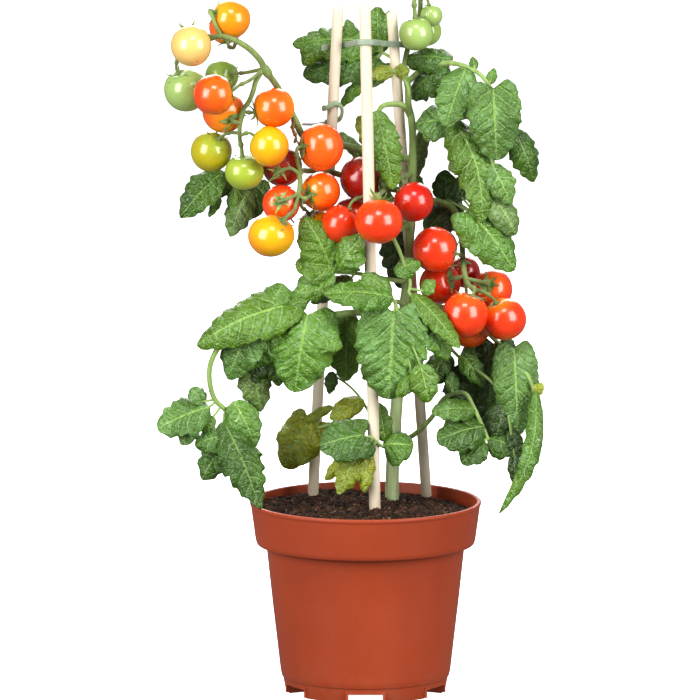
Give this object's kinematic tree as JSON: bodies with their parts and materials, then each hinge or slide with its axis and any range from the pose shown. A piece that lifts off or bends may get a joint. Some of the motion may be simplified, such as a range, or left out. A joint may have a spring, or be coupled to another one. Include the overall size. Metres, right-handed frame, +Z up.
{
  "type": "potted cherry tomato plant",
  "caption": "Cherry tomato plant with ripening fruit trusses, tied to upright canes in a tapered round plastic pot with a stepped rim band and drainage channels.",
  "frame": {"origin": "centre of the pot's foot, on the surface that it stands on", "axes": "+Z up, -Y towards the front of the plant, +X to the right seen from the front"},
  "size_m": [0.2342, 0.1664, 0.4224],
  "materials": {
    "terracotta_plastic": "smooth moulded terracotta-coloured plastic with a soft sheen",
    "potting_soil": "dark moist peat mix with light fibres",
    "cane_wood": "pale turned wood, unvarnished",
    "clip_plastic": "sage green flexible plastic",
    "tie_wire": "soft coated wire",
    "stem_green": "green stem with fine pale hairs",
    "leaf_green": "quilted leaf with pale veins and a bluish sheen",
    "tomato_red": "glossy ripe skin",
    "tomato_orange": "glossy half-ripe skin",
    "tomato_green": "glossy unripe skin"
  },
  "bodies": {
    "root": {"pot": "terracotta_plastic", "cane_front": "cane_wood", "cane_left": "cane_wood", "cane_right": "cane_wood", "main_stem": "stem_green", "cane_clip": "clip_plastic", "tie_left": "tie_wire", "tomato_left_upper_1": "tomato_orange", "tomato_left_upper_2": "tomato_orange", "tomato_left_upper_3": "tomato_orange", "tomato_left_upper_4": "tomato_green", "tomato_left_upper_5": "tomato_green", "tomato_left_upper_6": "tomato_red", "tomato_left_upper_7": "tomato_orange", "tomato_left_upper_8": "tomato_orange", "tomato_left_upper_9": "tomato_green", "tomato_left_upper_10": "tomato_orange", "tomato_left_upper_11": "tomato_green", "tomato_left_lower_1": "tomato_red", "tomato_left_lower_2": "tomato_red", "tomato_left_lower_3": "tomato_orange", "tomato_left_lower_4": "tomato_red", "tomato_left_lower_5": "tomato_orange", "tomato_left_lower_6": "tomato_orange", "tomato_left_lower_7": "tomato_red", "tomato_centre_1": "tomato_red", "tomato_centre_2": "tomato_red", "tomato_centre_3": "tomato_red", "tomato_centre_4": "tomato_red", "tomato_right_1": "tomato_red", "tomato_right_2": "tomato_red", "tomato_right_3": "tomato_red", "tomato_right_4": "tomato_red", "tomato_right_5": "tomato_red", "tomato_right_6": "tomato_red", "tomato_right_7": "tomato_red", "tomato_top_1": "tomato_green", "tomato_top_2": "tomato_green", "tomato_top_3": "tomato_green", "truss_left_upper": "stem_green", "truss_left_lower": "stem_green", "truss_centre": "stem_green", "truss_right": "stem_green", "truss_top": "stem_green", "leaf_top": "leaf_green", "leaf_upper_right": "leaf_green", "leaf_right_hanging": "leaf_green", "leaf_beside_cane": "leaf_green", "leaf_left_behind": "leaf_green", "leaf_middle": "leaf_green", "leaf_front": "leaf_green", "leaf_front_right": "leaf_green", "leaf_left_large": "leaf_green", "leaf_low_centre": "leaf_green", "leaf_low_left": "leaf_green", "leaf_low_right": "leaf_green", "leaf_right_outer": "leaf_green", "leaf_back_upper": "leaf_green", "leaf_back_lower": "leaf_green", "potting_soil": "potting_soil"}
  },
  "joints": []
}
